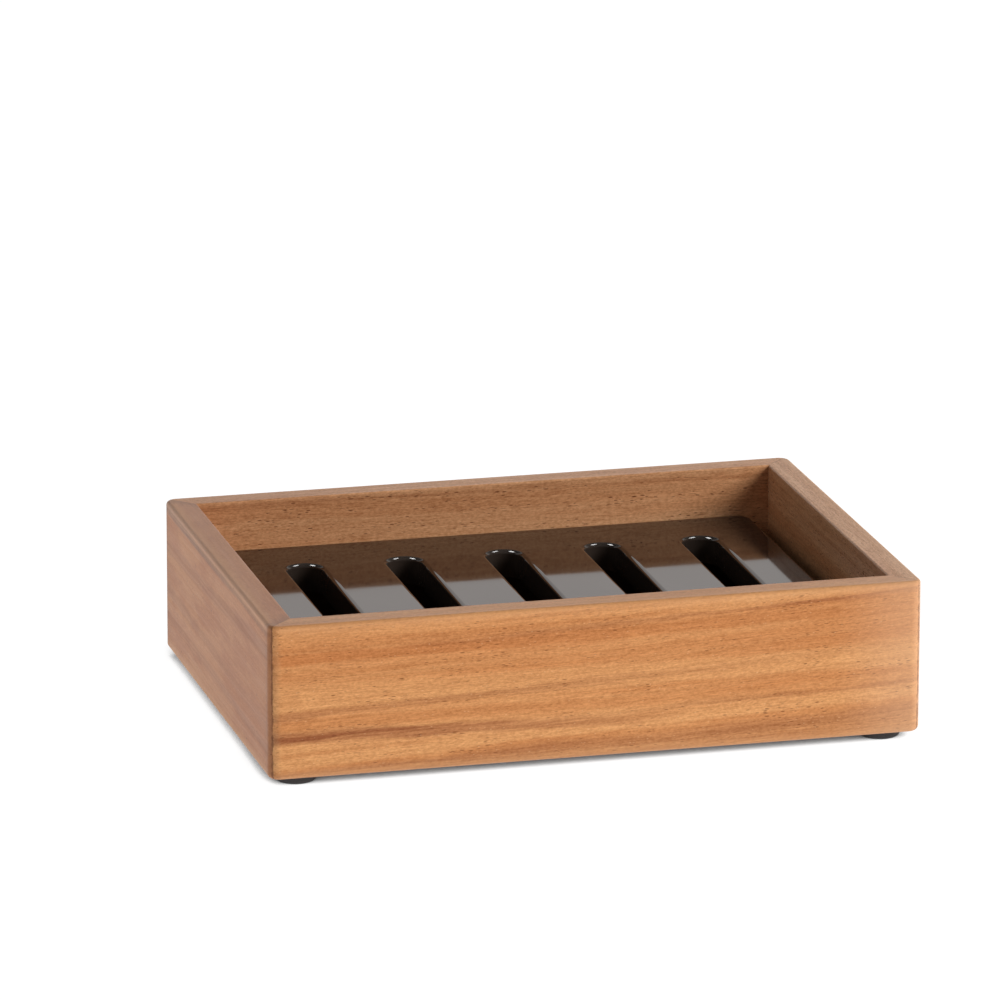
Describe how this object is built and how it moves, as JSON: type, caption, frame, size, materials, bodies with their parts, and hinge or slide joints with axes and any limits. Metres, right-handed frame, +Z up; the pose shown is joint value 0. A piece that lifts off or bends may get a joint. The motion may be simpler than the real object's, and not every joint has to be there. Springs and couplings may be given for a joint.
{
  "type": "soap dish",
  "caption": "Rectangular mitred wooden soap dish with a lift-out glossy black insert with round-ended drain slots, standing on rubber feet.",
  "frame": {"origin": "middle of the footprint, on the plane of the feet's lower faces", "axes": "+Z up, +X along the long side, the front faces -Y"},
  "size_m": [0.14, 0.1, 0.035],
  "materials": {
    "box_wood": "satin, thinly oiled",
    "panel_wood": "plain sanded",
    "tongue_wood": "plain sawn",
    "insert_plastic": "high gloss",
    "foot_rubber": "matt"
  },
  "bodies": {
    "box": {"front_board": "box_wood", "rear_board": "box_wood", "left_board": "box_wood", "right_board": "box_wood", "base_panel": "panel_wood", "corner_tongue_front_left": "tongue_wood", "corner_tongue_front_right": "tongue_wood", "corner_tongue_rear_left": "tongue_wood", "corner_tongue_rear_right": "tongue_wood", "foot_front_left": "foot_rubber", "foot_front_right": "foot_rubber", "foot_rear_left": "foot_rubber", "foot_rear_right": "foot_rubber"},
    "insert": {"drain_insert": "insert_plastic"}
  },
  "joints": [
    {"name": "insert_lift", "type": "slide", "parent": "box", "child": "insert", "axis": [0, 0, 1], "range_m": [0, 0.032]}
  ]
}
